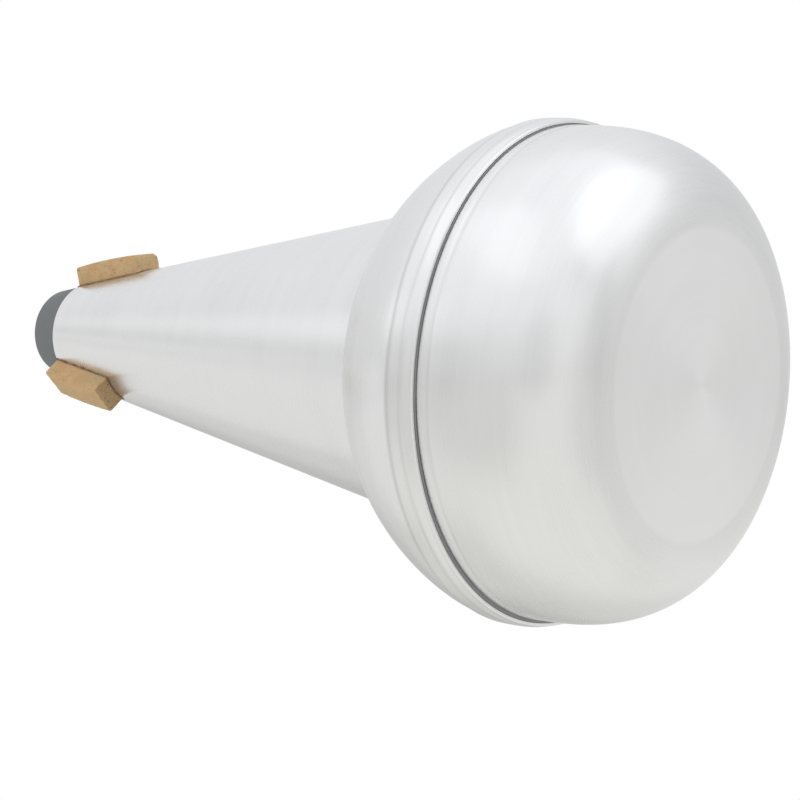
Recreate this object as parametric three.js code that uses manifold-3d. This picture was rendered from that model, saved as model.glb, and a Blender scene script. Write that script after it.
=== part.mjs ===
// A hollow practice mute for a brass instrument, in millimetres, with +Z up.
// It stands on the flat face of its bulb, and its own axis is the Z axis.
//
// The bulb is two spun shells, pressed together over a sealing ring. The neck is a tapered tube,
// fed through the rear shell's collar from inside. Cork strips on the neck seat in the bell of
// the instrument, and a soft ring is plugged into the neck's mouth.

import * as THREE from 'three';
import { mergeVertices } from 'three/addons/utils/BufferGeometryUtils.js';
import Module from 'manifold-3d';

// Steps that draw the round forms.
const TURN_STEPS = 60;
const BOWL_STEPS = 11;
const EDGE_STEPS = 3;

// The gap between pieces that touch, and how far a cutting body runs past what it cuts.
const SEAT_GAP = 0.3;
const OVERRUN = 3;

// Front shell: a bowl with a flat face. The fullness sets how round its side is.
const FACE_RADIUS = 26.6;
const SEAM_RADIUS = 43.5;
const SEAM_HEIGHT = 26.3;
const FRONT_WALL = 1;
const FRONT_EDGE = 0.5;
const FRONT_FULLNESS = 0.744;

// Rear shell: a hem over the seam, a dome, and a collar that is turned in along the neck.
const SEAM_STEP = 0.55;
const REAR_WALL = 0.95;
const HEM_WIDTH = 4.8;
const HEM_STEP = 0.35;
const DOME_HEIGHT = 21.65;
const DOME_FULLNESS = 1.4;
const COLLAR_DEPTH = 5.2;

// Sealing ring between the shells.
const GASKET_WIDTH = 0.85;
const GASKET_HEIGHT = 3.2;
const GASKET_EDGE = 0.2;

// Neck: a tapered tube with a turned-out flange at its foot.
const NECK_ROOT_RADIUS = 29.2;
const NECK_MOUTH_RADIUS = 11;
const NECK_LENGTH = 99.4;
const NECK_WALL = 1;
const NECK_EDGE = 0.3;
const FLANGE_REACH = 2.2;

// Soft ring in the neck's mouth.
const RING_HEAD = 8.5;
const RING_PLUG = 10;
const RING_SHOULDER = 0.4;
const RING_TIP_RADIUS = 9;
const RING_EDGE = 1.2;
const RING_BORE_RADIUS = 6;

// Cork strips, and where they stand round the neck. The widest space is the one in the photograph.
const CORK_LENGTH = 18.8;
const CORK_WIDTH = 6.6;
const CORK_THICKNESS = 3.6;
const CORK_EDGE = 0.5;
const CORK_INSET = 0.8;
const CORK_BEARINGS_DEGREES = [0, 130, 245];

// What follows from the sizes above.
const hemRadius = SEAM_RADIUS + SEAM_STEP + REAR_WALL;
const hemBottom = SEAM_HEIGHT + SEAT_GAP;
const domeRadius = hemRadius - HEM_STEP;
const domeBottom = hemBottom + HEM_WIDTH + HEM_STEP;
const neckRoot = domeBottom + DOME_HEIGHT;
const neckMouth = neckRoot + NECK_LENGTH;
const neckSlope = (NECK_ROOT_RADIUS - NECK_MOUTH_RADIUS) / NECK_LENGTH;
const neckAngle = Math.atan(neckSlope);
const gasketOuter = SEAM_RADIUS + SEAM_STEP - SEAT_GAP;
const gasketInner = gasketOuter - GASKET_WIDTH;
const spigotRadius = gasketInner - SEAT_GAP;

// The neck's outer radius at a height. The tube keeps its slope below the dome as well.
function neckRadius(height) {
  return NECK_MOUTH_RADIUS + (neckMouth - height) * neckSlope;
}

// A wall or a gap on the slope, measured square to the axis.
function acrossNeck(size) {
  return size / Math.cos(neckAngle);
}

// Points along a quarter turn, each made from the angle's sine and cosine.
function quarter(steps, pointAt) {
  const points = [];
  for (let step = 0; step <= steps; step += 1) {
    const angle = (step / steps) * (Math.PI / 2);
    points.push(pointAt(Math.sin(angle), Math.cos(angle)));
  }
  return points;
}

// The line that runs beside a curve, a wall's thickness to its left as it is walked.
function beside(points, distance) {
  return points.map(([radius, height], index) => {
    const [radiusBefore, heightBefore] = points[Math.max(index - 1, 0)];
    const [radiusAfter, heightAfter] = points[Math.min(index + 1, points.length - 1)];
    const along = radiusAfter - radiusBefore;
    const up = heightAfter - heightBefore;
    const length = Math.hypot(along, up);
    return [radius - (up / length) * distance, height + (along / length) * distance];
  });
}

// The height at which a curve that climbs inwards passes a radius.
function heightAt(points, radius) {
  const next = points.findIndex(([pointRadius]) => pointRadius <= radius);
  const [outerRadius, lowHeight] = points[Math.max(next - 1, 0)];
  const [innerRadius, highHeight] = points[Math.max(next, 1)];
  const share = (outerRadius - radius) / (outerRadius - innerRadius);
  return lowHeight + share * (highHeight - lowHeight);
}

// A solid of revolution about Z, from its section's [radius, height] points, anticlockwise.
function spin(section) {
  const profile = section.map(([radius, height]) => new THREE.Vector2(radius, height));
  const geometry = new THREE.LatheGeometry(profile, TURN_STEPS);
  geometry.rotateX(Math.PI / 2);
  return geometry;
}

// A section that ends where it began.
function closed(points) {
  return [...points, points[0]];
}

// The dome's outside, from the hem to the neck hole, and its inside.
const holeRadius = NECK_ROOT_RADIUS + acrossNeck(SEAT_GAP);
const domeOutside = quarter(BOWL_STEPS, (sine, cosine) => [
  holeRadius + (domeRadius - holeRadius) * cosine ** DOME_FULLNESS,
  domeBottom + DOME_HEIGHT * sine ** DOME_FULLNESS,
]);
const domeInside = beside(domeOutside, REAR_WALL);

function frontBowlSection() {
  const bowlHeight = SEAM_HEIGHT - FRONT_EDGE;
  const outside = quarter(BOWL_STEPS, (sine, cosine) => [
    FACE_RADIUS + (SEAM_RADIUS - FACE_RADIUS) * sine,
    bowlHeight * (1 - cosine ** FRONT_FULLNESS),
  ]);
  const edge = quarter(EDGE_STEPS, (sine, cosine) => [
    SEAM_RADIUS - FRONT_EDGE * (1 - cosine),
    bowlHeight + FRONT_EDGE * sine,
  ]);
  const spigotInside = spigotRadius - FRONT_WALL;
  const spigotTop = heightAt(domeInside, spigotRadius + SEAT_GAP);
  const inside = beside(outside, FRONT_WALL);
  const bowlInside = inside.filter(([, height]) => height < SEAM_HEIGHT - 2 * FRONT_WALL);
  return [
    [0, 0],
    ...outside,
    ...edge.slice(1),
    [spigotRadius, SEAM_HEIGHT],
    [spigotRadius, spigotTop],
    [spigotInside, spigotTop],
    [spigotInside, SEAM_HEIGHT - FRONT_WALL],
    ...bowlInside.reverse(),
    [0, FRONT_WALL],
  ];
}

function rearBowlSection() {
  const lipRadius = REAR_WALL / 2;
  const lipMiddle = hemRadius - lipRadius;
  const lipOuter = quarter(EDGE_STEPS, (sine, cosine) => [
    lipMiddle + lipRadius * sine,
    hemBottom + lipRadius * (1 - cosine),
  ]);
  const lipInner = quarter(EDGE_STEPS, (sine, cosine) => [
    lipMiddle - lipRadius * cosine,
    hemBottom + lipRadius * (1 - sine),
  ]);
  const hemTop = hemBottom + HEM_WIDTH;
  const collarBottom = neckRoot - COLLAR_DEPTH;
  const collarInside = neckRadius(collarBottom) + acrossNeck(SEAT_GAP);
  const collarWall = acrossNeck(REAR_WALL);
  const collarCorner = holeRadius + collarWall;
  const domeUnder = domeInside.filter(([radius]) => radius > collarCorner);
  return closed([
    ...lipInner,
    ...lipOuter.slice(1),
    [hemRadius, hemTop],
    ...domeOutside,
    [collarInside, collarBottom],
    [collarInside + collarWall, collarBottom],
    [collarCorner, heightAt(domeInside, collarCorner)],
    ...domeUnder.reverse(),
    [hemRadius - REAR_WALL, hemTop - HEM_STEP],
  ]);
}

function gasketSection() {
  const bottom = SEAM_HEIGHT + SEAT_GAP;
  const top = bottom + GASKET_HEIGHT;
  return closed([
    [gasketInner, bottom + GASKET_EDGE],
    [gasketInner + GASKET_EDGE, bottom],
    [gasketOuter - GASKET_EDGE, bottom],
    [gasketOuter, bottom + GASKET_EDGE],
    [gasketOuter, top - GASKET_EDGE],
    [gasketOuter - GASKET_EDGE, top],
    [gasketInner + GASKET_EDGE, top],
    [gasketInner, top - GASKET_EDGE],
  ]);
}

function neckSection() {
  const flangeTop = neckRoot - COLLAR_DEPTH - SEAT_GAP;
  const foot = flangeTop - NECK_WALL;
  const flangeRadius = neckRadius(flangeTop) + FLANGE_REACH;
  const wall = acrossNeck(NECK_WALL);
  return closed([
    [neckRadius(foot) - wall, foot],
    [flangeRadius, foot],
    [flangeRadius, flangeTop],
    [neckRadius(flangeTop), flangeTop],
    [neckRadius(neckMouth - NECK_EDGE), neckMouth - NECK_EDGE],
    [neckRadius(neckMouth) - NECK_EDGE, neckMouth],
    [neckRadius(neckMouth) - wall, neckMouth],
  ]);
}

function mouthRingSection() {
  const plugBottom = neckMouth - RING_PLUG;
  const headBottom = neckMouth + SEAT_GAP;
  const headTop = headBottom + RING_HEAD;
  const plugGap = acrossNeck(NECK_WALL + SEAT_GAP);
  const edge = quarter(EDGE_STEPS, (sine, cosine) => [
    RING_TIP_RADIUS - RING_EDGE * (1 - cosine),
    headTop - RING_EDGE * (1 - sine),
  ]);
  return closed([
    [RING_BORE_RADIUS, plugBottom],
    [neckRadius(plugBottom) - plugGap, plugBottom],
    [neckRadius(neckMouth) - plugGap, neckMouth],
    [neckRadius(neckMouth) - plugGap, headBottom],
    [NECK_MOUTH_RADIUS - RING_SHOULDER, headBottom],
    ...edge,
    [RING_BORE_RADIUS, headTop],
  ]);
}

const wasm = await Module();
wasm.setup();

// A geometry as a solid that can be cut.
function solidOf(geometry) {
  const bare = geometry.clone();
  bare.deleteAttribute('normal');
  bare.deleteAttribute('uv');
  const merged = mergeVertices(bare);
  return new wasm.Manifold(new wasm.Mesh({
    numProp: 3,
    vertProperties: new Float32Array(merged.attributes.position.array),
    triVerts: new Uint32Array(merged.index.array),
  }));
}

// A cut solid as a geometry again.
function geometryOf(solid) {
  const mesh = solid.getMesh();
  const geometry = new THREE.BufferGeometry();
  geometry.setAttribute('position', new THREE.BufferAttribute(mesh.vertProperties, mesh.numProp));
  geometry.setIndex(new THREE.BufferAttribute(mesh.triVerts, 1));
  geometry.computeVertexNormals();
  return geometry;
}

// One cork strip on the +X side: a block with bevelled edges whose underside fits the neck.
function corkStrip() {
  const sunk = CORK_THICKNESS;
  const side = CORK_WIDTH / 2 - CORK_EDGE;
  const block = new THREE.Shape();
  block.moveTo(-side, -sunk);
  block.lineTo(side, -sunk);
  block.lineTo(side, CORK_THICKNESS - CORK_EDGE);
  block.lineTo(-side, CORK_THICKNESS - CORK_EDGE);
  block.closePath();
  const strip = new THREE.ExtrudeGeometry(block, {
    depth: CORK_LENGTH - 2 * CORK_EDGE,
    bevelThickness: CORK_EDGE,
    bevelSize: CORK_EDGE,
    bevelSegments: 1,
  });
  strip.translate(0, 0, CORK_EDGE - CORK_LENGTH);

  const across = new THREE.Vector3(0, -1, 0);
  const outwards = new THREE.Vector3(Math.cos(neckAngle), 0, Math.sin(neckAngle));
  const alongNeck = new THREE.Vector3().crossVectors(across, outwards);
  const end = neckMouth - CORK_INSET;
  const seat = new THREE.Vector3(neckRadius(end), 0, end).addScaledVector(outwards, SEAT_GAP);
  strip.applyMatrix4(new THREE.Matrix4().makeBasis(across, outwards, alongNeck).setPosition(seat));

  const low = neckMouth - CORK_LENGTH - OVERRUN;
  const high = neckMouth + OVERRUN;
  const seatGap = acrossNeck(SEAT_GAP);
  const neckCore = spin([
    [0, low],
    [neckRadius(low) + seatGap, low],
    [neckRadius(high) + seatGap, high],
    [0, high],
  ]);
  return geometryOf(solidOf(strip).subtract(solidOf(neckCore)));
}

function aluminium() {
  return new THREE.MeshStandardMaterial({ color: 0xd6d8d9, roughness: 0.34, metalness: 1 });
}

function cork() {
  return new THREE.MeshStandardMaterial({ color: 0xb99a6e, roughness: 0.9, metalness: 0 });
}

function rubber() {
  return new THREE.MeshStandardMaterial({ color: 0x5c6063, roughness: 0.7, metalness: 0 });
}

function piece(name, geometry, material) {
  const mesh = new THREE.Mesh(geometry, material);
  mesh.name = name;
  return mesh;
}

const bulb = new THREE.Group();
bulb.add(piece('front_bowl', spin(frontBowlSection()), aluminium()));
bulb.add(piece('rear_bowl', spin(rearBowlSection()), aluminium()));
bulb.add(piece('seam_gasket', spin(gasketSection()), rubber()));

const neck = new THREE.Group();
neck.add(piece('neck_cone', spin(neckSection()), aluminium()));
neck.add(piece('mouth_ring', spin(mouthRingSection()), rubber()));
CORK_BEARINGS_DEGREES.forEach((bearing, index) => {
  const strip = piece(`cork_pad_${index + 1}`, corkStrip(), cork());
  strip.rotation.z = THREE.MathUtils.degToRad(bearing);
  neck.add(strip);
});

const mute = new THREE.Group();
mute.add(bulb, neck);

export default mute;
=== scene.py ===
"""A spun-aluminium practice mute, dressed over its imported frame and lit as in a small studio.

The mute stands on the flat face of its bulb, and its own axis is Z. Sizes are in metres. A section
is a list of (radius, height) points, walked anticlockwise, that is turned about Z.
"""

import logging
import math
from collections.abc import Callable, Sequence
from dataclasses import dataclass
from enum import Enum

import bmesh
import bpy
from mathutils import Matrix, Vector, noise


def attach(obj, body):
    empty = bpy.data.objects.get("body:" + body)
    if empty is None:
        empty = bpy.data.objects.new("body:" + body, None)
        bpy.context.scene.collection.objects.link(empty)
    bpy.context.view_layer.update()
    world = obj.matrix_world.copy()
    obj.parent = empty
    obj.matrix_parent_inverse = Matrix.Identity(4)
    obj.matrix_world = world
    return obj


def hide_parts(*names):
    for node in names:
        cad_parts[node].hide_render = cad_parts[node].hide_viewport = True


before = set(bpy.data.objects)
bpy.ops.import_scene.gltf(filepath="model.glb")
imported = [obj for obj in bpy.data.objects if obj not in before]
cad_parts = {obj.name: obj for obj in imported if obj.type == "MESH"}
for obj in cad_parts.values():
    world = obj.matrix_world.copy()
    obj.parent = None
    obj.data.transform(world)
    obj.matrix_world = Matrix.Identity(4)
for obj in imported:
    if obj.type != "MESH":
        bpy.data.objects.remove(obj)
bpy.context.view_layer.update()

LOG = logging.getLogger("practice_mute")

MM = 0.001

Point = tuple[float, float]
Limits = tuple[float, float]
Colour = tuple[float, float, float]
Section = list[Point]

WHITE: Colour = (1.0, 1.0, 1.0)

TURN_STEPS = 256
ROUND_STEPS = 6
FINE_STEPS = 1500
SHOWN_SPACING = 0.35 * MM
HIDDEN_SPACING = 2.0 * MM
FLAT_SPACING = 1.0 * MM
BAND_SPACING = 0.2 * MM
SHARP_ANGLE = math.radians(32)
HAIR_GAP = 0.03 * MM
ON_AXIS = 0.0001 * MM

# Each wave's size, how fast it runs and where it starts.
RIPPLE_WAVES = ((1.0, 1.0, 0.0), (0.6, 0.37, 1.0), (0.4, 1.71, 0.0))


class LineRun(Enum):
    """Which way the spinning lines step over a shell as they climb."""

    OUTWARDS = 1.0
    STRAIGHT = 0.0
    INWARDS = -1.0


class Wire:
    """One output of a shader node, with the plain operators that add Math nodes."""

    def __init__(self, bench: "ShaderBench", socket: bpy.types.NodeSocket) -> None:
        """Keeps the bench that the node stands on and the output that this wire carries."""
        self.bench = bench
        self.socket = socket

    def _maths(self, operation: str, *values: "Wire | float") -> "Wire":
        """One Math node over some values, in order."""
        settings = {"operation": operation}
        return self.bench.add("ShaderNodeMath", settings, dict(enumerate(values)))

    def __add__(self, other: "Wire | float") -> "Wire":
        """This value plus another."""
        return self._maths("ADD", self, other)

    def __radd__(self, other: float) -> "Wire":
        """A number plus this value."""
        return self._maths("ADD", other, self)

    def __sub__(self, other: "Wire | float") -> "Wire":
        """This value less another."""
        return self._maths("SUBTRACT", self, other)

    def __rsub__(self, other: float) -> "Wire":
        """A number less this value."""
        return self._maths("SUBTRACT", other, self)

    def __mul__(self, other: "Wire | float") -> "Wire":
        """This value times another."""
        return self._maths("MULTIPLY", self, other)

    def __rmul__(self, other: float) -> "Wire":
        """A number times this value."""
        return self._maths("MULTIPLY", other, self)

    def __truediv__(self, other: "Wire | float") -> "Wire":
        """This value over another."""
        return self._maths("DIVIDE", self, other)

    def __rtruediv__(self, other: float) -> "Wire":
        """A number over this value."""
        return self._maths("DIVIDE", other, self)

    def __abs__(self) -> "Wire":
        """This value without its sign."""
        return self._maths("ABSOLUTE", self)

    def root(self) -> "Wire":
        """This value's square root."""
        return self._maths("POWER", self, 0.5)

    def clamped(self) -> "Wire":
        """This value held between 0 and 1."""
        return self._maths("MAXIMUM", self._maths("MINIMUM", self, 1.0), 0.0)

    def between(self, low: float, high: float) -> "Wire":
        """A smooth rise over this value.

        Args:
            low: Where the rise starts.
            high: Where it ends. It may lie below low, and the rise is then a fall.

        Returns:
            0 on the far side of low and 1 past high.
        """
        return self.bench.add(
            "ShaderNodeMapRange",
            {"interpolation_type": "SMOOTHSTEP"},
            {"Value": self, "From Min": low, "From Max": high},
        )


class ShaderBench:
    """The node tree of one material or world, and the one method that adds nodes to it."""

    def __init__(self, owner: bpy.types.Material | bpy.types.World) -> None:
        """Clears the owner's node tree.

        Args:
            owner: What the tree belongs to.
        """
        owner.use_nodes = True
        self.owner = owner
        self.tree = owner.node_tree
        self.tree.nodes.clear()

    def node(
        self, kind: str, settings: dict | None = None, inputs: dict | None = None
    ) -> bpy.types.Node:
        """Adds a node.

        Args:
            kind: The node's type.
            settings: Its properties by name, which are set first.
            inputs: Numbers, colours or wires, by the name or number of their socket.

        Returns:
            The node.
        """
        made = self.tree.nodes.new(kind)
        for name, value in (settings or {}).items():
            setattr(made, name, value)
        for name, value in (inputs or {}).items():
            if isinstance(value, Wire):
                self.tree.links.new(value.socket, made.inputs[name])
            else:
                made.inputs[name].default_value = value
        return made

    def add(
        self,
        kind: str,
        settings: dict | None = None,
        inputs: dict | None = None,
        output: int | str = 0,
    ) -> Wire:
        """Adds a node and takes one of its outputs, by name or number."""
        return Wire(self, self.node(kind, settings, inputs).outputs[output])

    def finish(self, kind: str, surface: Wire) -> bpy.types.Material | bpy.types.World:
        """Wires a shader to a new output node and hands back the tree's owner."""
        self.node(kind, None, {"Surface": surface})
        return self.owner

    def painted(self, inputs: dict) -> bpy.types.Material:
        """Ends a material with a Principled shader that has these inputs."""
        surface = self.add("ShaderNodeBsdfPrincipled", None, inputs)
        return self.finish("ShaderNodeOutputMaterial", surface)

    def split(self, vector: Wire) -> tuple[Wire, ...]:
        """A vector's x, y and z."""
        parts = self.node("ShaderNodeSeparateXYZ", None, {"Vector": vector}).outputs
        return tuple(Wire(self, part) for part in parts)

    def joined(self, x: Wire | float, y: Wire | float, z: Wire | float) -> Wire:
        """Three values as a vector."""
        return self.add("ShaderNodeCombineXYZ", None, {"X": x, "Y": y, "Z": z})

    def along(self, vector: Wire, direction: Vector) -> Wire:
        """How far a vector reaches along a fixed direction of length 1."""
        inputs = {0: vector, 1: direction}
        return self.add("ShaderNodeVectorMath", {"operation": "DOT_PRODUCT"}, inputs, "Value")

    def cloud(self, place: Wire, scale: float, detail: float, rough: float) -> Wire:
        """Soft noise.

        Args:
            place: Where it is read.
            scale: Its features to a unit of place.
            detail: How many finer layers it has.
            rough: How strong they are.

        Returns:
            A value about 0.5.
        """
        inputs = {"Vector": place, "Scale": scale, "Detail": detail, "Roughness": rough}
        return self.add("ShaderNodeTexNoise", None, inputs)

    def mixed(self, share: Wire | float, first: Wire | Colour, second: Wire | Colour) -> Wire:
        """A colour between two.

        Args:
            share: 0 for the first and 1 for the second.
            first: A colour.
            second: Another.

        Returns:
            The colour between them.
        """
        first = first if isinstance(first, Wire) else (*first, 1.0)
        second = second if isinstance(second, Wire) else (*second, 1.0)
        inputs = {"Factor": share, 6: first, 7: second}
        return self.add("ShaderNodeMix", {"data_type": "RGBA"}, inputs, output=2)

    def bumped(self, height: Wire, depth: float) -> Wire:
        """The normal that a height from 0 to 1 tilts, where 1 stands for the depth."""
        inputs = {"Height": height, "Distance": depth, "Strength": 1.0}
        return self.add("ShaderNodeBump", None, inputs)


def shade(colour: Colour, factor: float) -> Colour:
    """A colour with each of its parts multiplied."""
    return tuple(part * factor for part in colour)


@dataclass(frozen=True)
class CreaseShadeLine:
    """A faint dark line of painted shade round the mute, along a groove, step or crease.

    It is darkest at its height, by its strength, and gone at its reach above and below.
    """

    height: float
    reach: float
    strength: float


@dataclass(frozen=True)
class Streaks:
    """Noise that is drawn out round the axis, as the roller leaves it on a spun shell.

    The pitch is about how far apart the streaks lie, and the swirl how fast they change on the way
    round. A shift moves them to another part of the noise.
    """

    pitch: float
    swirl: float
    detail: float
    rough: float
    shift: float = 0.0

    def read(self, bench: ShaderBench, walk: Wire, east: Wire, north: Wire) -> Wire:
        """The streaks, as noise on a bench.

        Args:
            bench: The material's bench.
            walk: The way across the streaks.
            east: The share of the radius that lies along X.
            north: The share of the radius that lies along Y.

        Returns:
            A value about 0.5.
        """
        side = east * self.swirl
        if self.shift:
            side = side + self.shift
        where = bench.joined(walk / self.pitch, side, north * self.swirl)
        return bench.cloud(where, 1.0, self.detail, self.rough)


@dataclass(frozen=True)
class SpunAluminium:
    """Satin aluminium with the fine lines that spinning leaves round its axis.

    Inside its turned radius, where it has one, it is paler and a little rougher. Its crease lines
    are painted shade along grooves and steps.
    """

    name: str
    run: LineRun
    tone: Colour = (0.82, 0.82, 0.82)
    contrast: float = 0.04
    roughness: float = 0.28
    roughness_swing: float = 0.08
    anisotropy: float = 0.6
    anisotropy_turn: float = 0.25
    lines: Streaks = Streaks(0.22 * MM, 1.7, detail=3.0, rough=0.65)
    line_weight: float = 0.8
    line_depth: float = 0.0016 * MM
    bands: Streaks = Streaks(3.2 * MM, 0.9, detail=2.0, rough=0.5)
    band_weight: float = 0.7
    smudge_size: float = 16.0 * MM
    smudge_weight: float = 0.9
    scratches: Streaks = Streaks(0.9 * MM, 3.1, detail=4.0, rough=0.7, shift=4.0)
    scratch_limits: Limits = (0.66, 0.74)
    scratch_polish: float = 0.4
    scratch_height: float = 0.6
    turned_radius: float = 0.0
    turned_edge: float = 0.7 * MM
    turned_gain: float = 0.30
    turned_roughness: float = 0.04
    crease_shade_tone: Colour = (0.12, 0.12, 0.11)
    crease_shades: tuple[CreaseShadeLine, ...] = ()

    def material(self) -> bpy.types.Material:
        """The finish as a material.

        Returns:
            The material, whose patterns are read in the mute's own frame.
        """
        bench = ShaderBench(bpy.data.materials.new(self.name))
        place = bench.add("ShaderNodeTexCoord", output="Object")
        x, y, z = bench.split(place)
        radius = (x * x + y * y).root()
        east = x / radius
        north = y / radius
        walk = z + radius * self.run.value

        lines = self.lines.read(bench, walk, east, north)
        bands = self.bands.read(bench, walk, east, north)
        smudges = bench.cloud(place, 1.0 / self.smudge_size, detail=3.0, rough=0.55)
        scratches = self.scratches.read(bench, walk, east, north).between(*self.scratch_limits)
        texture = (lines - 0.5) * self.line_weight + (bands - 0.5) * self.band_weight
        texture = texture + (smudges - 0.5) * self.smudge_weight

        dark = shade(self.tone, 1.0 - self.contrast)
        pale = shade(self.tone, 1.0 + self.contrast)
        tone = bench.mixed((texture + 0.5).clamped(), dark, pale)
        polish = scratches * self.scratch_polish
        roughness = self.roughness + (texture - polish) * self.roughness_swing
        if self.turned_radius:
            outer = self.turned_radius + self.turned_edge
            turned = radius.between(outer, self.turned_radius - self.turned_edge)
            tone = bench.mixed(turned * self.turned_gain, tone, WHITE)
            roughness = roughness + turned * self.turned_roughness
        # Painted shade: each crease line darkens the colour along a groove or step.
        for line in self.crease_shades:
            off = abs(z - line.height) / line.reach
            tone = bench.mixed(off.between(1.0, 0.0) * line.strength, tone, self.crease_shade_tone)
        return bench.painted({
            "Base Color": tone,
            "Metallic": 1.0,
            "Roughness": roughness,
            "Anisotropic": self.anisotropy,
            "Anisotropic Rotation": self.anisotropy_turn,
            "Normal": bench.bumped(lines + scratches * self.scratch_height, self.line_depth),
        })


@dataclass(frozen=True)
class RawCork:
    """Fine-grained cork, sawn and sanded, with small dark pores.

    What faces down carries painted shade, but only on the side of +X.
    """

    name: str
    pale: Colour = (0.60, 0.415, 0.225)
    warm: Colour = (0.58, 0.36, 0.18)
    olive: Colour = (0.50, 0.375, 0.20)
    # The colour of the pores, and also of the painted end shade.
    pore_and_shade: Colour = (0.20, 0.12, 0.055)
    patch_size: float = 2.6 * MM
    patch_limits: Limits = (0.38, 0.62)
    drift_size: float = 6.5 * MM
    drift_limits: Limits = (0.48, 0.66)
    drift_weight: float = 0.75
    grain_size: float = 0.55 * MM
    grain_weight: float = 0.4
    grain_height: float = 0.6
    granule_size: float = 1.1 * MM
    granule_edge: float = 0.10
    granule_weight: float = 0.12
    granule_depth: float = 0.25
    pore_size: float = 0.42 * MM
    pore_limits: Limits = (0.64, 0.72)
    pore_weight: float = 0.6
    pore_depth: float = 0.9
    shaded_end_slope: Limits = (-0.55, -0.85)
    shaded_end_side: Limits = (-5.0 * MM, 5.0 * MM)
    end_shade_weight: float = 0.45
    roughness: float = 0.82
    roughness_swing: float = 0.16
    gloss: float = 0.25
    relief: float = 0.10 * MM

    def material(self) -> bpy.types.Material:
        """The finish as a material.

        Returns:
            The material, whose patterns are read in the mute's own frame.
        """
        bench = ShaderBench(bpy.data.materials.new(self.name))
        place = bench.add("ShaderNodeTexCoord", output="Object")
        x, _, _ = bench.split(place)
        patches = bench.cloud(place, 1.0 / self.patch_size, detail=3.0, rough=0.6)
        drift = bench.cloud(place, 1.0 / self.drift_size, detail=1.0, rough=0.5)
        grain = bench.cloud(place, 1.0 / self.grain_size, detail=3.0, rough=0.7)
        granules = bench.add(
            "ShaderNodeTexVoronoi",
            {"feature": "DISTANCE_TO_EDGE"},
            {"Vector": place, "Scale": 1.0 / self.granule_size, "Randomness": 1.0},
        )
        edges = granules.between(self.granule_edge, 0.0)
        pores = bench.cloud(place, 1.0 / self.pore_size, detail=2.0, rough=0.5)
        pores = pores.between(*self.pore_limits)
        _, _, rise = bench.split(bench.add("ShaderNodeNewGeometry", output="Normal"))
        # Painted shade on the down-facing end of the strip on the side of +X.
        painted_end_shade = rise.between(*self.shaded_end_slope) * x.between(*self.shaded_end_side)

        colour = bench.mixed(patches.between(*self.patch_limits), self.warm, self.pale)
        drift = drift.between(*self.drift_limits) * self.drift_weight
        colour = bench.mixed(drift, colour, self.olive)
        # The darkening adds granule edges, pores and grain, and the painted end shade.
        dark = edges * self.granule_weight + pores * self.pore_weight
        dark = dark + (0.5 - grain) * self.grain_weight + painted_end_shade * self.end_shade_weight
        height = grain * self.grain_height - pores * self.pore_depth - edges * self.granule_depth
        return bench.painted({
            "Base Color": bench.mixed(dark.clamped(), colour, self.pore_and_shade),
            "Roughness": self.roughness + grain * self.roughness_swing,
            "Specular IOR Level": self.gloss,
            "Normal": bench.bumped(height, self.relief),
        })


@dataclass(frozen=True)
class MattRubber:
    """Dark moulded rubber with a dusty bloom."""

    name: str
    tone: Colour
    bloom: Colour
    bloom_size: float = 5.0 * MM
    bloom_weight: float = 0.7
    speck_size: float = 0.35 * MM
    speck_weight: float = 0.5
    bare_share: float = 0.2
    roughness: float = 0.62
    roughness_swing: float = 0.2
    gloss: float = 0.35
    relief: float = 0.02 * MM

    def material(self) -> bpy.types.Material:
        """The finish as a material.

        Returns:
            The material, whose patterns are read in the mute's own frame.
        """
        bench = ShaderBench(bpy.data.materials.new(self.name))
        place = bench.add("ShaderNodeTexCoord", output="Object")
        dust = bench.cloud(place, 1.0 / self.bloom_size, detail=4.0, rough=0.6)
        specks = bench.cloud(place, 1.0 / self.speck_size, detail=2.0, rough=0.6)
        share = dust * self.bloom_weight + specks * self.speck_weight - self.bare_share
        return bench.painted({
            "Base Color": bench.mixed(share.clamped(), self.tone, self.bloom),
            "Roughness": self.roughness + (dust - 0.5) * self.roughness_swing,
            "Specular IOR Level": self.gloss,
            "Normal": bench.bumped(specks, self.relief),
        })


@dataclass(frozen=True)
class GlueAndShadowFilm:
    """The brown film of contact glue that shows along the edge of a cork, whose dark brown also
    paints the contact shadow there.
    """

    name: str
    tone: Colour = (0.30, 0.21, 0.12)
    thick: Colour = (0.17, 0.11, 0.06)
    blob_size: float = 1.4 * MM
    blob_limits: Limits = (0.35, 0.65)
    roughness: float = 0.35
    roughness_swing: float = 0.3
    relief: float = 0.05 * MM

    def material(self) -> bpy.types.Material:
        """The finish as a material.

        Returns:
            The material, whose patterns are read in the mute's own frame.
        """
        bench = ShaderBench(bpy.data.materials.new(self.name))
        place = bench.add("ShaderNodeTexCoord", output="Object")
        blobs = bench.cloud(place, 1.0 / self.blob_size, detail=3.0, rough=0.5)
        share = blobs.between(*self.blob_limits)
        return bench.painted({
            "Base Color": bench.mixed(share, self.tone, self.thick),
            "Roughness": self.roughness + blobs * self.roughness_swing,
            "Normal": bench.bumped(blobs, self.relief),
        })


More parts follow.
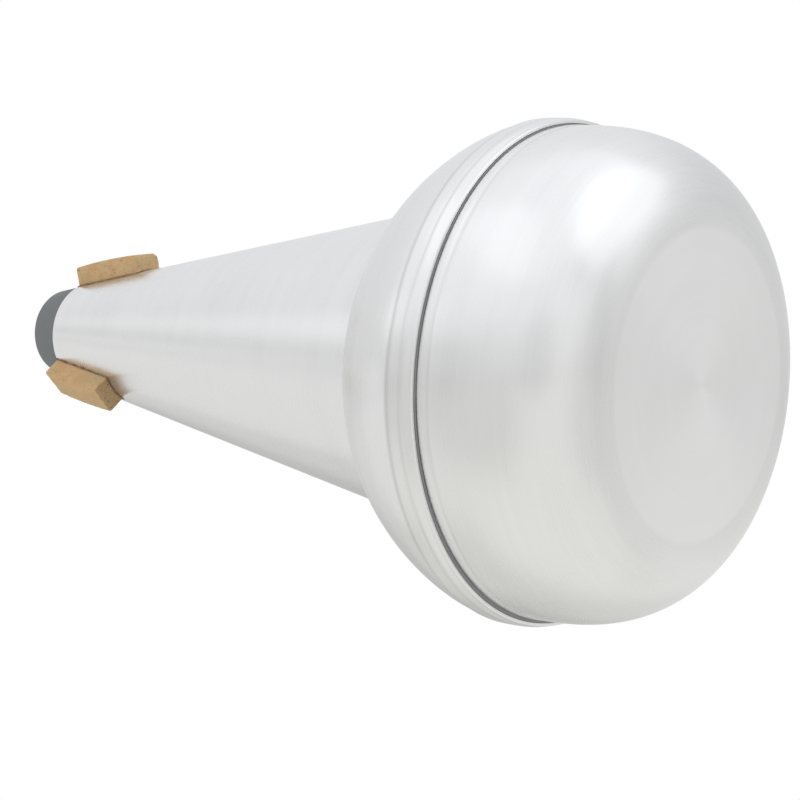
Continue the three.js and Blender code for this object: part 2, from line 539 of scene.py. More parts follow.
@dataclass(frozen=True)
class PaleFloor:
    """A plain pale floor that only the camera sees, from above, and that fades out far away.

    From below it is clear, so that the mute's flat face can be seen and lit.
    """

    name: str
    tone: Colour = (0.90, 0.90, 0.90)
    fade_start: float = 0.35
    fade_end: float = 0.95

    def material(self) -> bpy.types.Material:
        """The finish as a material.

        Returns:
            The material.
        """
        bench = ShaderBench(bpy.data.materials.new(self.name))
        x, y, _ = bench.split(bench.add("ShaderNodeTexCoord", output="Object"))
        reach = (x * x + y * y).root()
        camera = bench.add("ShaderNodeLightPath", output="Is Camera Ray")
        under = bench.add("ShaderNodeNewGeometry", output="Backfacing")
        seen = camera * (1.0 - under) * reach.between(self.fade_end, self.fade_start)
        paint = bench.add("ShaderNodeBsdfDiffuse", None, {"Color": (*self.tone, 1.0)})
        clear = bench.add("ShaderNodeBsdfTransparent")
        surface = bench.add("ShaderNodeMixShader", None, {"Fac": seen, 1: clear, 2: paint})
        return bench.finish("ShaderNodeOutputMaterial", surface)


def evenly(curve: Callable[[float], Point], spacing: float) -> Section:
    """Points at even distances along a curve.

    Args:
        curve: The point at each share of the way, from 0 to 1.
        spacing: About how far apart the points lie.

    Returns:
        The points, with both ends among them.
    """
    fine = [curve(step / FINE_STEPS) for step in range(FINE_STEPS + 1)]
    lengths = [0.0]
    for before, after in zip(fine, fine[1:]):
        lengths.append(lengths[-1] + math.dist(before, after))
    steps = max(2, round(lengths[-1] / spacing))
    points = []
    at = 0
    for step in range(steps + 1):
        wanted = lengths[-1] * step / steps
        while at < FINE_STEPS - 1 and lengths[at + 1] < wanted:
            at += 1
        share = (wanted - lengths[at]) / (lengths[at + 1] - lengths[at])
        points.append(tuple(a + (b - a) * share for a, b in zip(fine[at], fine[at + 1])))
    return points


def straight(start: Point, end: Point, spacing: float) -> Section:
    """Points along a straight stretch.

    Args:
        start: Where it starts.
        end: Where it ends.
        spacing: About how far apart the points lie.

    Returns:
        The points, with both ends among them.
    """
    steps = max(1, round(math.dist(start, end) / spacing))
    return [
        tuple(a + (b - a) * step / steps for a, b in zip(start, end)) for step in range(steps + 1)
    ]


def rounded(corners: Sequence[tuple[float, float, float]]) -> Section:
    """A stretch of section from its corners.

    Args:
        corners: Each corner's radius, its height and the radius that it is rounded to. The first
            and last corners stay sharp.

    Returns:
        The stretch's points, with a round at each corner.
    """
    points = [corners[0][:2]]
    for before, corner, after in zip(corners, corners[1:], corners[2:]):
        middle = Vector(corner[:2])
        size = corner[2]
        if not size:
            points.append(corner[:2])
            continue
        to_before = (Vector(before[:2]) - middle).normalized()
        to_after = (Vector(after[:2]) - middle).normalized()
        half = to_before.angle(to_after) / 2
        centre = middle + (to_before + to_after).normalized() * size / math.sin(half)
        start = middle + to_before * size / math.tan(half) - centre
        end = middle + to_after * size / math.tan(half) - centre
        turn = start.angle(end)
        for step in range(ROUND_STEPS + 1):
            share = step / ROUND_STEPS
            spoke = start * math.sin((1 - share) * turn) + end * math.sin(share * turn)
            points.append(tuple(centre + spoke / math.sin(turn)))
    points.append(corners[-1][:2])
    return points


def raised(section: Section, height: Callable[[float], float]) -> Section:
    """A stretch of section with a relief on its right-hand side.

    Args:
        section: The stretch's points.
        height: How far the surface moves outwards at each distance along the stretch.

    Returns:
        The moved points. Both ends stay where they are.
    """
    moved = [section[0]]
    walked = 0.0
    for before, point, after in zip(section, section[1:], section[2:]):
        walked += math.dist(before, point)
        along = Vector(after) - Vector(before)
        right = Vector((along.y, -along.x)).normalized()
        moved.append(tuple(Vector(point) + right * height(walked)))
    moved.append(section[-1])
    return moved


def spinning_ripple(depth: float, pitch: float) -> Callable[[float], float]:
    """The shallow waves that the roller leaves on a spun shell.

    Args:
        depth: About how far they reach to each side.
        pitch: About how far apart they lie.

    Returns:
        The relief at each distance along a section.
    """

    def height(walked: float) -> float:
        """The relief at one distance, which grows from nothing at the start."""
        turn = math.tau * walked / pitch
        waves = sum(size * math.sin(turn * pace + start) for size, pace, start in RIPPLE_WAVES)
        return depth * waves * min(1.0, walked / pitch)

    return height


def placed(name: str, data: bpy.types.ID) -> bpy.types.Object:
    """Puts a mesh, a lamp or a camera in the scene.

    Args:
        name: The new object's name.
        data: What the object shows.

    Returns:
        The object.
    """
    made = bpy.data.objects.new(name, data)
    bpy.context.scene.collection.objects.link(made)
    return made


def spun(name: str, section: Section, finish: bpy.types.Material) -> bpy.types.Object:
    """A body turned about Z, which rides on the mute.

    Args:
        name: The piece's name.
        section: Its section. It may start and end on the axis, and otherwise closes on itself.
        finish: The piece's material.

    Returns:
        The piece.
    """
    verts = []
    rings = []
    for radius, height in section:
        count = TURN_STEPS if radius > ON_AXIS else 1
        rings.append(range(len(verts), len(verts) + count))
        for step in range(count):
            angle = math.tau * step / TURN_STEPS
            verts.append((radius * math.cos(angle), radius * math.sin(angle), height))
    pairs = list(zip(rings, rings[1:]))
    if len(rings[0]) > 1:
        pairs.append((rings[-1], rings[0]))
    faces = []
    for low, high in pairs:
        for step in range(TURN_STEPS):
            after = (step + 1) % TURN_STEPS
            corners = [
                low[step % len(low)],
                low[after % len(low)],
                high[after % len(high)],
                high[step % len(high)],
            ]
            faces.append(list(dict.fromkeys(corners)))
    mesh = bpy.data.meshes.new(name)
    mesh.from_pydata(verts, [], faces)
    return shown(name, mesh, finish)


def shown(
    name: str, mesh: bpy.types.Mesh, finish: bpy.types.Material
) -> bpy.types.Object:
    """Puts a mesh in the scene as a piece of the mute.

    Args:
        name: The piece's name.
        mesh: Its mesh.
        finish: The piece's material.

    Returns:
        The piece.
    """
    mesh.validate()
    mesh.shade_smooth()
    mesh.set_sharp_from_angle(angle=SHARP_ANGLE)
    mesh.materials.append(finish)
    piece = placed(name, mesh)
    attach(piece, "root")
    LOG.info("%s: %d faces", name, len(mesh.polygons))
    return piece


@dataclass
class Bulb:
    """The bulb: a front and a rear shell, pressed together over a sealing ring."""

    face_radius: float = 26.6 * MM
    seam_radius: float = 43.5 * MM
    seam_height: float = 26.3 * MM
    front_wall: float = 1.0 * MM
    front_edge: float = 0.5 * MM
    front_edge_round: float = 0.24 * MM
    front_fullness: float = 0.744
    bead_width: float = 2.2 * MM
    bead_crown: float = 0.06 * MM
    spigot_radius: float = 42.6 * MM
    spigot_top: float = 35.1 * MM
    spigot_round: float = 0.2 * MM
    seam_step: float = 0.55 * MM
    rear_wall: float = 0.95 * MM
    seat_gap: float = 0.3 * MM
    lip_fold: float = 0.10 * MM
    lip_drop: float = 0.12 * MM
    lip_edge: float = 0.14 * MM
    lip_fullness: float = 0.9
    lip_outer_share: float = 0.75
    hem_width: float = 4.8 * MM
    hem_step: float = 0.35 * MM
    hem_round: float = 0.30 * MM
    step_share: float = 0.55
    step_round: float = 0.10 * MM
    roll_width: float = 2.2 * MM
    roll_drop: float = 0.38 * MM
    groove_depth: float = 0.075 * MM
    groove_width: float = 0.30 * MM
    dome_height: float = 21.65 * MM
    dome_fullness: float = 1.4
    collar_depth: float = 5.2 * MM
    collar_round: float = 0.16 * MM
    collar_bend_walls: float = 1.6
    seal_height: float = 3.2 * MM
    seal_play: float = 0.30 * MM
    seal_round: float = 0.15 * MM
    front_creep: float = 0.26 * MM
    front_bearing: float = math.radians(92)
    ripple_depth: float = 0.0018 * MM
    ripple_pitch: float = 2.3 * MM

    @property
    def hem_radius(self) -> float:
        """The bulb's largest radius."""
        return self.seam_radius + self.seam_step + self.rear_wall

    @property
    def hem_bottom(self) -> float:
        """The height at which the rear shell starts."""
        return self.seam_height + self.seat_gap

    @property
    def hem_top(self) -> float:
        """The height at which the hem ends."""
        return self.hem_bottom + self.hem_width

    @property
    def roll_top(self) -> float:
        """The height of the fine groove that ends the hem's rolled edge."""
        return self.hem_bottom + self.roll_width

    @property
    def dome_radius(self) -> float:
        """The dome's radius at its foot."""
        return self.hem_radius - self.hem_step

    @property
    def dome_bottom(self) -> float:
        """The height at which the dome starts, above the step of the hem."""
        return self.hem_bottom + self.hem_width + self.hem_step

    @property
    def neck_root(self) -> float:
        """The height at which the neck leaves the dome."""
        return self.dome_bottom + self.dome_height

    def front_section(self) -> Section:
        """The front shell's section, from the middle of its face to the inside of its wall.

        Returns:
            The section.
        """
        face = straight((0.0, 0.0), (self.face_radius, 0.0), FLAT_SPACING)
        bowl = evenly(lambda share: self._bowl(share, 0.0), SHOWN_SPACING)
        bowl = raised(bowl, spinning_ripple(self.ripple_depth, self.ripple_pitch))
        bowl = [self._beaded(point) for point in bowl]
        spigot_inside = self.spigot_radius - self.front_wall
        lip = rounded([
            (*bowl[-1], 0.0),
            (self.seam_radius, self.seam_height, self.front_edge_round),
            (self.spigot_radius, self.seam_height, self.spigot_round),
            (self.spigot_radius, self.spigot_top, self.spigot_round),
            (spigot_inside, self.spigot_top, self.spigot_round),
            (spigot_inside, self.seam_height - self.front_wall, 0.0),
        ])
        inside = evenly(lambda share: self._bowl(1 - share, self.front_wall), HIDDEN_SPACING)
        return [*face, *bowl[1:], *lip[1:], *inside, (0.0, self.front_wall)]

    def _bowl(self, share: float, inset: float) -> Point:
        """A point on the front shell's side, outside or inside.

        Args:
            share: How far up it lies, from 0 at the flat face to 1 at the seam.
            inset: How far it lies inside the shell's outer surface.

        Returns:
            The point.
        """
        turn = share * math.pi / 2
        sink = max(math.cos(turn), 0.0) ** self.front_fullness
        reach = self.seam_radius - self.face_radius - inset
        rise = self.seam_height - self.front_edge - 2 * inset
        return self.face_radius + reach * math.sin(turn), inset + rise * (1 - sink)

    def _groove(self, off: float) -> float:
        """How deep a fine groove is at a distance from its middle."""
        off_share = off / self.groove_width
        return self.groove_depth * math.exp(-off_share * off_share)

    def _beaded(self, point: Point) -> Point:
        """A point of the bowl's side, with the crowned bead and fine groove next to the seam.

        Args:
            point: A point of the plain side.

        Returns:
            The point, moved in or out.
        """
        radius, height = point
        below_seam = self.seam_height - height
        crown = 0.0
        if below_seam < self.bead_width:
            across = 2 * below_seam / self.bead_width - 1
            crown = self.bead_crown * (1 - across * across)
        return radius + crown - self._groove(below_seam - self.bead_width), height

    def rear_section(self, neck: "Neck") -> Section:
        """The rear shell's section, from the inside of its lip over the dome to the collar.

        Args:
            neck: The neck that the collar fits.

        Returns:
            The section.
        """
        lip = self.rear_wall / 2 * self.lip_fullness
        lip_inner = self.hem_radius - self.rear_wall - self.lip_fold
        lip_outer = self.hem_radius - self.roll_drop
        lip_bottom = self.hem_bottom - self.lip_drop
        edge = rounded([
            (lip_inner, self.hem_bottom + 2 * lip, 0.0),
            (lip_inner, lip_bottom, self.lip_edge),
            (lip_outer, lip_bottom, lip * self.lip_outer_share),
            (lip_outer, self.hem_bottom + lip, 0.0),
        ])

        def roll(share: float) -> Point:
            """A point on the rolled edge, which swells from the lip to the fine groove."""
            fall = self.roll_drop * (1 - share) ** 2
            return self.hem_radius - fall, self.hem_bottom + lip + (self.roll_width - lip) * share

        band_top = self.hem_radius, self.hem_top - BAND_SPACING
        band = evenly(roll, SHOWN_SPACING)
        band += straight((self.hem_radius, self.roll_top), band_top, BAND_SPACING)
        band = [(radius - self._groove(height - self.roll_top), height) for radius, height in band]
        step = rounded([
            (*band[-1], 0.0),
            (self.hem_radius, self.hem_top, self.hem_round),
            (self.dome_radius, self.hem_top + self.hem_step * self.step_share, self.step_round),
            (self.dome_radius, self.dome_bottom, 0.0),
        ])

        hole = neck.radius_at(self.neck_root) + HAIR_GAP
        outside = evenly(lambda share: self._dome(share, hole, 0.0), SHOWN_SPACING)
        outside = raised(outside, spinning_ripple(self.ripple_depth, self.ripple_pitch))
        collar_bottom = self.neck_root - self.collar_depth
        collar = neck.radius_at(collar_bottom) + HAIR_GAP
        bend = self.collar_bend_walls * self.rear_wall
        turned = rounded([
            (*outside[-2], 0.0),
            (hole, self.neck_root, self.collar_round),
            (collar, collar_bottom, 0.0),
            (collar + self.rear_wall, collar_bottom, 0.0),
            (hole + self.rear_wall, self.neck_root - bend, 0.0),
        ])
        inside = evenly(lambda share: self._dome(1 - share, hole, self.rear_wall), HIDDEN_SPACING)
        return [*edge[:-1], *band[:-1], *step[:-1], *outside[:-2], *turned[:-1], *inside]

    def _dome(self, share: float, hole: float, inset: float) -> Point:
        """A point on the dome, outside or inside.

        Args:
            share: How far up it lies, from 0 at the hem to 1 at the neck.
            hole: The radius of the neck's hole.
            inset: How far it lies inside the shell's outer surface.

        Returns:
            The point.
        """
        turn = share * math.pi / 2
        shrink = max(math.cos(turn), 0.0) ** self.dome_fullness
        start = hole + inset
        rise = self.dome_height - self.collar_bend_walls * inset
        return (
            start + (self.dome_radius - inset - start) * shrink,
            self.dome_bottom + rise * math.sin(turn) ** self.dome_fullness,
        )

    def seal_section(self) -> Section:
        """The sealing ring's section.

        Returns:
            The section.
        """
        outer = self.seam_radius + self.seam_step - self.lip_fold - HAIR_GAP
        inner = self.spigot_radius + self.seal_play
        bottom = self.seam_height + HAIR_GAP
        top = self.hem_bottom + self.seal_height
        middle = (inner + outer) / 2
        return rounded([
            (middle, top, 0.0),
            (inner, top, self.seal_round),
            (inner, bottom, self.seal_round),
            (outer, bottom, self.seal_round),
            (outer, top, self.seal_round),
            (middle, top, 0.0),
        ])[:-1]

    def build(
        self, neck: "Neck", front: SpunAluminium, rear: SpunAluminium, seal: MattRubber
    ) -> None:
        """Builds and dresses the three pieces, with the front shell pressed in a little off centre.

        Args:
            neck: The neck that the rear shell fits.
            front: The front shell's finish.
            rear: The rear shell's finish.
            seal: The sealing ring's finish.
        """
        piece = spun("front_shell", self.front_section(), front.material())
        creep = Matrix.Rotation(self.front_bearing, 4, "Z") @ Vector((self.front_creep, 0.0, 0.0))
        piece.data.transform(Matrix.Translation(creep))
        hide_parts("front_bowl")
        section = self.rear_section(neck)
        piece = spun("rear_shell", section, rear.material())
        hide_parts("rear_bowl")
        piece = spun("seam_seal", self.seal_section(), seal.material())
        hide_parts("seam_gasket")


@dataclass
class Neck:
    """The tapered tube and the soft ring in its mouth."""

    root: float
    root_radius: float = 29.2 * MM
    mouth_radius: float = 11.0 * MM
    length: float = 99.4 * MM
    wall: float = 1.0 * MM
    edge: float = 0.25 * MM
    flange_reach: float = 2.2 * MM
    flange_drop: float = 5.5 * MM
    ring_head: float = 8.8 * MM
    ring_plug: float = 10.0 * MM
    ring_plug_round: float = 0.3 * MM
    ring_shoulder: float = 0.4 * MM
    ring_shoulder_round: float = 0.25 * MM
    ring_tip_radius: float = 8.9 * MM
    ring_edge: float = 1.4 * MM
    ring_bore_radius: float = 6.0 * MM
    ring_bore_round: float = 0.5 * MM
    ripple_depth: float = 0.0012 * MM
    ripple_pitch: float = 3.1 * MM

    @property
    def mouth(self) -> float:
        """The height of the tube's upper end."""
        return self.root + self.length

    @property
    def slope(self) -> float:
        """How much the radius shrinks for each unit of height."""
        return (self.root_radius - self.mouth_radius) / self.length

    @property
    def angle(self) -> float:
        """The angle between the tube's side and its axis."""
        return math.atan(self.slope)

    def radius_at(self, height: float) -> float:
        """The tube's outer radius at a height."""
        return self.mouth_radius + (self.mouth - height) * self.slope

    def tube_section(self) -> Section:
        """The tube's section, from the inside of its foot round the flange to the mouth.

        Returns:
            The section.
        """
        wall = self.wall / math.cos(self.angle)
        flange_top = self.root - self.flange_drop
        foot = flange_top - self.wall
        flange_radius = self.radius_at(flange_top) + self.flange_reach
        start = self.radius_at(flange_top + self.wall), flange_top + self.wall
        end = self.radius_at(self.mouth - self.wall), self.mouth - self.wall
        flange = rounded([
            (self.radius_at(foot) - wall, foot, 0.0),
            (flange_radius, foot, self.edge),
            (flange_radius, flange_top, self.edge),
            (self.radius_at(flange_top), flange_top, self.edge),
            (*start, 0.0),
        ])
        side = straight(start, end, FLAT_SPACING)
        side = raised(side, spinning_ripple(self.ripple_depth, self.ripple_pitch))
        mouth = rounded([
            (*end, 0.0),
            (self.mouth_radius, self.mouth, self.edge),
            (self.mouth_radius - wall, self.mouth, self.edge),
            (self.radius_at(foot) - wall, foot, 0.0),
        ])
        return [*flange[:-1], *side[:-1], *mouth[1:-1]]

    def ring_section(self) -> Section:
        """The soft ring's section: a plug inside the tube and a head on its end.

        Returns:
            The section.
        """
        wall = (self.wall + HAIR_GAP) / math.cos(self.angle)
        plug_bottom = self.mouth - self.ring_plug
        plug_radius = self.radius_at(plug_bottom) - wall
        head_bottom = self.mouth + HAIR_GAP
        head_top = self.mouth + self.ring_head
        bore = self.ring_bore_radius
        middle = (head_bottom + plug_bottom) / 2
        return rounded([
            (bore, middle, 0.0),
            (bore, plug_bottom, self.ring_plug_round),
            (plug_radius, plug_bottom, self.ring_plug_round),
            (self.mouth_radius - wall, head_bottom, 0.0),
            (self.mouth_radius - self.ring_shoulder, head_bottom, self.ring_shoulder_round),
            (self.ring_tip_radius, head_top, self.ring_edge),
            (bore, head_top, self.ring_bore_round),
            (bore, middle, 0.0),
        ])[:-1]

    def build(self, metal: SpunAluminium, rubber: MattRubber) -> None:
        """Builds and dresses the tube and the ring.

        Args:
            metal: The tube's finish.
            rubber: The ring's finish.
        """
        piece = spun("neck_tube", self.tube_section(), metal.material())
        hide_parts("neck_cone")
        piece = spun("soft_ring", self.ring_section(), rubber.material())
        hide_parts("mouth_ring")


@dataclass(frozen=True)
class CorkPlace:
    """Where one cork strip stands, how its ends are worn and how far up it has crept."""

    number: int
    bearing: float
    root_wear: float
    mouth_wear: float
    slide: float


@dataclass
class CorkStrips:
    """The cork strips on the neck, each on a thin film of glue that also paints the contact shadow
    along its edge.
    """

    neck: Neck
    length: float = 18.8 * MM
    width: float = 6.6 * MM
    thickness: float = 3.6 * MM
    seat_gap: float = 0.3 * MM
    inset: float = 0.8 * MM
    edge: float = 0.35 * MM
    crown: float = 0.28 * MM
    crumble: float = 0.05 * MM
    crumble_size: float = 0.8 * MM
    crumble_seed: int = 1
    crumble_rise: float = 3.0
    cell: float = 0.3 * MM
    glue_margin: float = 0.25 * MM
    glue_thickness: float = 0.16 * MM
    glue_edge_share: float = 0.4
    glue_rim_share: float = 0.2
    glue_waver: float = 0.22 * MM
    glue_waver_size: float = 2.4 * MM
    places: tuple[CorkPlace, ...] = (
        CorkPlace(1, math.radians(0), 0.5 * MM, 0.3 * MM, 0.5 * MM),
        CorkPlace(2, math.radians(130), 1.5 * MM, 0.5 * MM, 0.5 * MM),
        CorkPlace(3, math.radians(245), 0.9 * MM, 0.7 * MM, 0.2 * MM),
    )

    def build(self, cork: RawCork, glue: GlueAndShadowFilm) -> None:
        """Builds and dresses every strip and its glue.

        Args:
            cork: The strips' finish.
            glue: The finish of the glue, which also paints the contact shadow.
        """
        noise.seed_set(self.crumble_seed)
        cork_finish = cork.material()
        glue_and_shadow_finish = glue.material()
        for place in self.places:
            piece = shown(f"cork_strip_{place.number}", self._strip(place), cork_finish)
            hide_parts(f"cork_pad_{place.number}")
            shown(f"cork_glue_shadow_{place.number}", self._film(place), glue_and_shadow_finish)

    def _strip(self, place: CorkPlace) -> bpy.types.Mesh:
        """One strip's mesh: a sawn block with a crowned face, worn ends and crumbly edges.

        Args:
            place: Where the strip stands.

        Returns:
            The mesh.
        """
        size = Vector((self.width, self.thickness + self.seat_gap, self.length))
        block = self._block(size, self.edge)
        seat = self.glue_thickness / 2
        for vert in block.verts:
            across, rise, climb = vert.co
            fall = self._wear(-climb, place.mouth_wear)
            fall += self._wear(size.z + climb, place.root_wear)
            middle = 2 * climb / size.z + 1
            top = size.y - seat - self.crown * middle * middle - fall
            share = rise / size.y
            spot = self._on_neck(across, seat + (top - seat) * share, share, climb, place)
            rough = noise.noise_vector(spot / self.crumble_size)
            vert.co = spot + rough * self.crumble * min(1.0, share * self.crumble_rise)
        return self._mesh(block, f"cork_strip_{place.number}")

    def _film(self, place: CorkPlace) -> bpy.types.Mesh:
        """The glue under one strip, which shows as a thin uneven dark line round it: real glue and
        painted contact shadow.

        Args:
            place: Where the strip stands.

        Returns:
            The mesh.
        """
        size = Vector((self.width, self.glue_thickness, self.length))
        block = self._block(size, self.glue_thickness * self.glue_edge_share)
        for vert in block.verts:
            across, rise, climb = vert.co
            out = Vector((across / (size.x / 2), 2 * climb / size.z + 1))
            seed = Vector((across, climb, place.number * size.z)) / self.glue_waver_size
            waver = self.glue_margin + self.glue_waver * noise.noise(seed)
            across += waver * self._rim(out.x)
            climb += waver * self._rim(out.y)
            vert.co = self._on_neck(across, rise + HAIR_GAP / 2, 0.0, climb, place)
        return self._mesh(block, f"cork_glue_shadow_{place.number}")

    def _rim(self, out: float) -> float:
        """How much of the margin a point gets, from -1 at one edge to 1 at the other."""
        rim = self.glue_rim_share
        return math.copysign(max(0.0, abs(out) - (1 - rim)) / rim, out)

    @staticmethod
    def _wear(distance: float, size: float) -> float:
        """How far a worn end falls.

        Args:
            distance: How far inside the end a point lies.
            size: The radius that the end is worn to.

        Returns:
            The fall, along a round.
        """
        if distance >= size:
            return 0.0
        off = size - max(distance, 0.0)
        return size - math.sqrt(size * size - off * off)

    def _on_neck(
        self, across: float, rise: float, flat: float, climb: float, place: CorkPlace
    ) -> Vector:
        """A point over the neck, in the mute's frame.

        Args:
            across: How far it lies to the side of the strip's middle line.
            rise: How far it stands off the neck.
            flat: 0 where the point keeps to the neck's round and 1 where it keeps to a flat.
            climb: How far it lies up the neck from the strip's upper end.
            place: Where the strip stands.

        Returns:
            The point.
        """
        lean = self.neck.angle
        end = self.neck.mouth - self.inset + place.slide
        height = end + climb * math.cos(lean)
        radius = self.neck.radius_at(height)
        drop = (radius - math.sqrt(radius * radius - across * across)) / math.cos(lean)
        off = rise - drop * (1 - flat)
        spot = Vector((radius + off * math.cos(lean), across, height + off * math.sin(lean)))
        spot.rotate(Matrix.Rotation(place.bearing, 3, "Z"))
        return spot

    def _block(self, size: Vector, edge: float) -> bmesh.types.BMesh:
        """A finely divided block with rounded edges.

        Args:
            size: Its width about 0, its height up from 0 and its length down from 0.
            edge: The radius of its edges.

        Returns:
            The block.
        """
        block = bmesh.new()
        bmesh.ops.create_cube(block, size=1.0)
        for axis in range(3):
            cuts = max(2, round(size[axis] / self.cell))
            normal = Vector([float(axis == other) for other in range(3)])
            for cut in range(1, cuts):
                bmesh.ops.bisect_plane(
                    block,
                    geom=[*block.verts, *block.edges, *block.faces],
                    plane_co=normal * (cut / cuts - 0.5),
                    plane_no=normal,
                )
        half = size / 2
        for vert in block.verts:
            spot = Vector([vert.co[axis] * size[axis] for axis in range(3)])
            core = Vector([max(edge - h, min(h - edge, s)) for h, s in zip(half, spot)])
            off = spot - core
            if off.length > 0:
                spot = core + off.normalized() * edge
            vert.co = spot + Vector((0.0, half.y, -half.z))
        return block

    @staticmethod
    def _mesh(block: bmesh.types.BMesh, name: str) -> bpy.types.Mesh:
        """A block as a mesh with its faces outwards.

        Args:
            block: The block, which is freed.
            name: The mesh's name.

        Returns:
            The mesh.
        """
        bmesh.ops.recalc_face_normals(block, faces=block.faces)
        mesh = bpy.data.meshes.new(name)
        block.to_mesh(mesh)
        block.free()
        return mesh


@dataclass(frozen=True)
class SoftBox:
    """One round soft lamp, with its direction from the mute as the photographer sees it."""

    name: str
    right: float
    up: float
    nearer: float
    width: float
    brightness: float
    tint: Colour = (0.985, 0.995, 1.02)
    distance: float = 0.9


@dataclass(frozen=True)
class Card:
    """A lighter or darker round of the surround that only shiny surfaces show.

    It has its full gain up to inner degrees from its middle and none from outer degrees on.
    """

    right: float
    up: float
    nearer: float
    inner: float
    outer: float
    gain: float


@dataclass
class Studio:
    """The camera, the lamps, the white surround and the pale floor."""

    camera_place: Vector
    camera_aim: Vector
    camera_up: Vector
    lens_mm: float = 90.0
    sensor_mm: float = 36.0
    clip_start: float = 0.01
    clip_end: float = 20.0
    room: Colour = (0.88, 0.88, 0.88)
    low_tint: Colour = (1.010, 1.017, 0.973)
    high_tint: Colour = (0.985, 0.994, 1.021)
    tint_limits: Limits = (-0.9, 0.9)
    level: float = 0.715
    sky_gain: float = 0.225
    sky_limits: Limits = (-0.58, 1.12)
    horizon_gain: float = -0.08
    horizon_bottom: float = -0.125
    horizon_middle: float = -0.06
    horizon_top: float = 0.01
    floor_drop: float = 0.15 * MM
    floor_width: float = 4.0
    floor_cells: int = 8
    boxes: tuple[SoftBox, ...] = (
        SoftBox("right_box", 0.61, 0.75, 0.27, 0.88, 0.225),
        SoftBox("left_box", -0.66, 0.67, 0.34, 1.02, 0.10),
        SoftBox("top_box", -0.02, 0.97, 0.25, 1.5, 0.11),
        SoftBox("over_box", -0.88, -0.34, -0.33, 0.81, 0.11),
    )
    cards: tuple[Card, ...] = (
        Card(0.00, -0.60, 0.80, 59, 83, 0.15),
        Card(0.56, -0.43, -0.70, 2, 53, 0.14),
        Card(-0.01, 0.12, 0.99, 4, 24, -0.18),
        Card(0.69, 0.21, -0.70, 1, 39, -0.14),
        Card(-0.10, -0.34, -0.93, 5, 22, -0.21),
        Card(0.16, -0.62, -0.76, 8, 28, -0.13),
        Card(0.86, -0.13, 0.49, 16, 28, -0.11),
        Card(-0.74, -0.21, 0.64, 3, 44, -0.14),
        Card(-0.95, 0.31, -0.09, 5, 10, 0.35),
        Card(0.93, 0.36, 0.08, 10, 15, 0.14),
    )

    def photographer(self) -> Matrix:
        """The camera's own axes in the mute's frame.

        Returns:
            A matrix whose columns point right, up and back towards the photographer.
        """
        back = (self.camera_place - self.camera_aim).normalized()
        right = self.camera_up.cross(back).normalized()
        return Matrix((right, back.cross(right), back)).transposed()

    def build(self) -> None:
        """Builds the camera, the surround, the lamps and the floor."""
        self._camera()
        self._surround()
        for box in self.boxes:
            self._lamp(box)
        self._floor()

    def _way(self, mark: SoftBox | Card) -> Vector:
        """The direction of a lamp or card, in the mute's frame."""
        return (self.photographer() @ Vector((mark.right, mark.up, mark.nearer))).normalized()

    def _camera(self) -> None:
        """Sets up the camera at the photograph's viewing angle."""
        lens = bpy.data.cameras.new("studio_camera")
        lens.sensor_width = self.sensor_mm
        lens.lens = self.lens_mm
        lens.clip_start = self.clip_start
        lens.clip_end = self.clip_end
        camera = placed("studio_camera", lens)
        camera.matrix_world = Matrix.Translation(self.camera_place) @ self.photographer().to_4x4()
        bpy.context.scene.camera = camera
        LOG.info("camera: %.0f mm lens", self.lens_mm)

    def _surround(self) -> None:
        """Makes the surround: white to the camera, even to matt surfaces and shaded to metal."""
        bench = ShaderBench(bpy.data.worlds.new("white_surround"))
        direction = bench.add("ShaderNodeTexCoord", output="Generated")
        path = bench.node("ShaderNodeLightPath").outputs
        glossy = Wire(bench, path["Is Glossy Ray"])
        seen = Wire(bench, path["Is Camera Ray"]) + Wire(bench, path["Is Transmission Ray"])

        shaded = self._room_shading(bench, direction)
        colour = bench.mixed(glossy, self.room, shaded)
        colour = bench.mixed(seen.clamped(), colour, WHITE)
        light = bench.add("ShaderNodeBackground", None, {"Color": colour, "Strength": 1.0})
        bpy.context.scene.world = bench.finish("ShaderNodeOutputWorld", light)
        LOG.info("surround: white to the camera")

    def _room_shading(self, bench: ShaderBench, direction: Wire) -> Wire:
        """What metal mirrors: a rise from floor to ceiling, a dim horizon and the cards.

        Args:
            bench: The world's bench.
            direction: The direction that is looked in.

        Returns:
            The colour there.
        """
        up = bench.along(direction, self.photographer().col[1])
        below = up.between(self.horizon_bottom, self.horizon_middle)
        horizon = below * up.between(self.horizon_top, self.horizon_middle)
        level = up.between(*self.sky_limits) * self.sky_gain + horizon * self.horizon_gain
        level = level + self.level
        for card in self.cards:
            edge = math.cos(math.radians(card.outer))
            middle = math.cos(math.radians(card.inner))
            off = bench.along(direction, self._way(card))
            level = level + off.between(edge, middle) * card.gain
        tint = bench.mixed(up.between(*self.tint_limits), self.low_tint, self.high_tint)
        return bench.add("ShaderNodeVectorMath", {"operation": "SCALE"}, {0: tint, "Scale": level})

    def _lamp(self, box: SoftBox) -> None:
        """Hangs one soft lamp, turned to the middle of the mute.

        Args:
            box: The lamp.
        """
        lamp = bpy.data.lights.new(box.name, "AREA")
        lamp.shape = "DISK"
        lamp.size = box.width
        lamp.color = box.tint
        lamp.energy = box.brightness * math.pi * box.width**2
        holder = placed(box.name, lamp)
        way = self._way(box)
        holder.location = self.camera_aim + way * box.distance
        holder.rotation_mode = "QUATERNION"
        holder.rotation_quaternion = way.to_track_quat("Z", "Y")
        LOG.info("%s: %.2f W", box.name, lamp.energy)

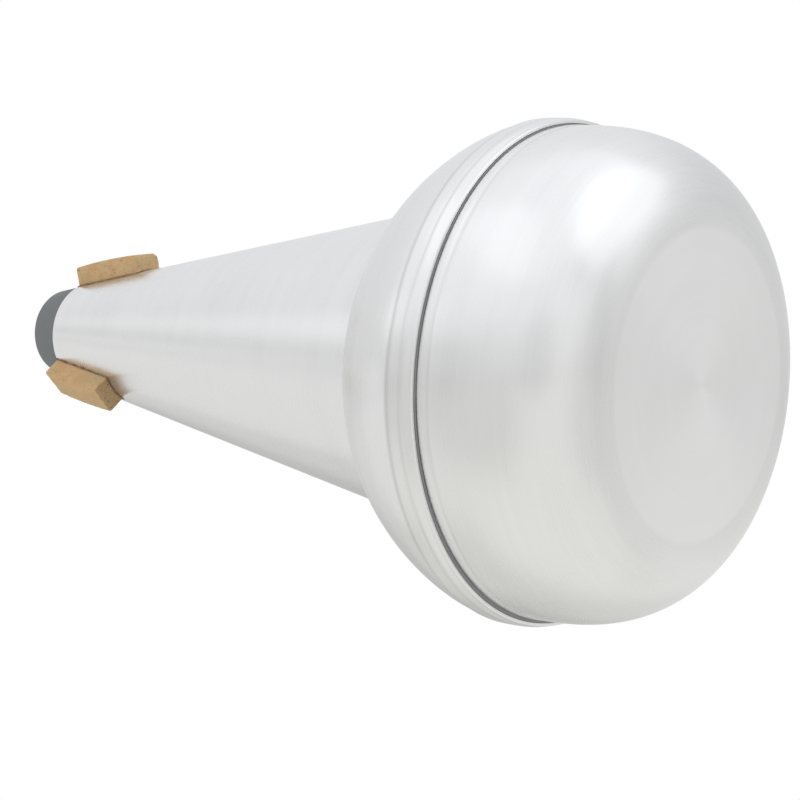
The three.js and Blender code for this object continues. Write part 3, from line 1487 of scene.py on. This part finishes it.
    def _floor(self) -> None:
        """Lays the pale floor just under the mute's flat face."""
        mesh = bpy.data.meshes.new("floor")
        sheet = bmesh.new()
        cells = self.floor_cells
        bmesh.ops.create_grid(sheet, x_segments=cells, y_segments=cells, size=self.floor_width / 2)
        sheet.to_mesh(mesh)
        sheet.free()
        mesh.materials.append(PaleFloor("pale_floor").material())
        floor = placed("floor", mesh)
        floor.location.z = -self.floor_drop
        LOG.info("floor: laid")


def main() -> None:
    """Builds the mute and its studio in order."""
    logging.basicConfig(level=logging.INFO)
    bpy.context.scene.view_settings.view_transform = "Standard"

    studio = Studio(
        camera_place=Vector((0.18920, 0.22180, -0.17449)),
        camera_aim=Vector((-0.00044, -0.01239, 0.07308)),
        camera_up=Vector((-0.7326, 0.6761, 0.0784)),
    )
    studio.build()

    bulb = Bulb()
    neck = Neck(root=bulb.neck_root)
    bulb.build(
        neck,
        front=SpunAluminium(
            "aluminium_front",
            LineRun.OUTWARDS,
            turned_radius=bulb.face_radius,
            # Painted shade in the fine groove beside the bead.
            crease_shades=(CreaseShadeLine(bulb.seam_height - bulb.bead_width, 0.6 * MM, 0.08),),
        ),
        rear=SpunAluminium(
            "aluminium_rear",
            LineRun.INWARDS,
            # Painted shade in the groove above the rolled edge, at the step of the hem and where
            # the neck leaves the dome.
            crease_shades=(
                CreaseShadeLine(bulb.roll_top, 0.7 * MM, 0.10),
                CreaseShadeLine(bulb.dome_bottom - bulb.hem_step / 2, 0.95 * MM, 0.24),
                CreaseShadeLine(bulb.neck_root, 0.50 * MM, 0.20),
            ),
        ),
        seal=MattRubber("seal_rubber", (0.22, 0.22, 0.22), (0.30, 0.30, 0.30)),
    )
    neck.build(
        metal=SpunAluminium("aluminium_neck", LineRun.STRAIGHT, line_depth=0.001 * MM),
        rubber=MattRubber("ring_rubber", (0.13, 0.14, 0.145), (0.20, 0.21, 0.215)),
    )
    CorkStrips(neck).build(RawCork("raw_cork"), GlueAndShadowFilm("glue_and_painted_shadow"))


if __name__ == "__main__":
    main()
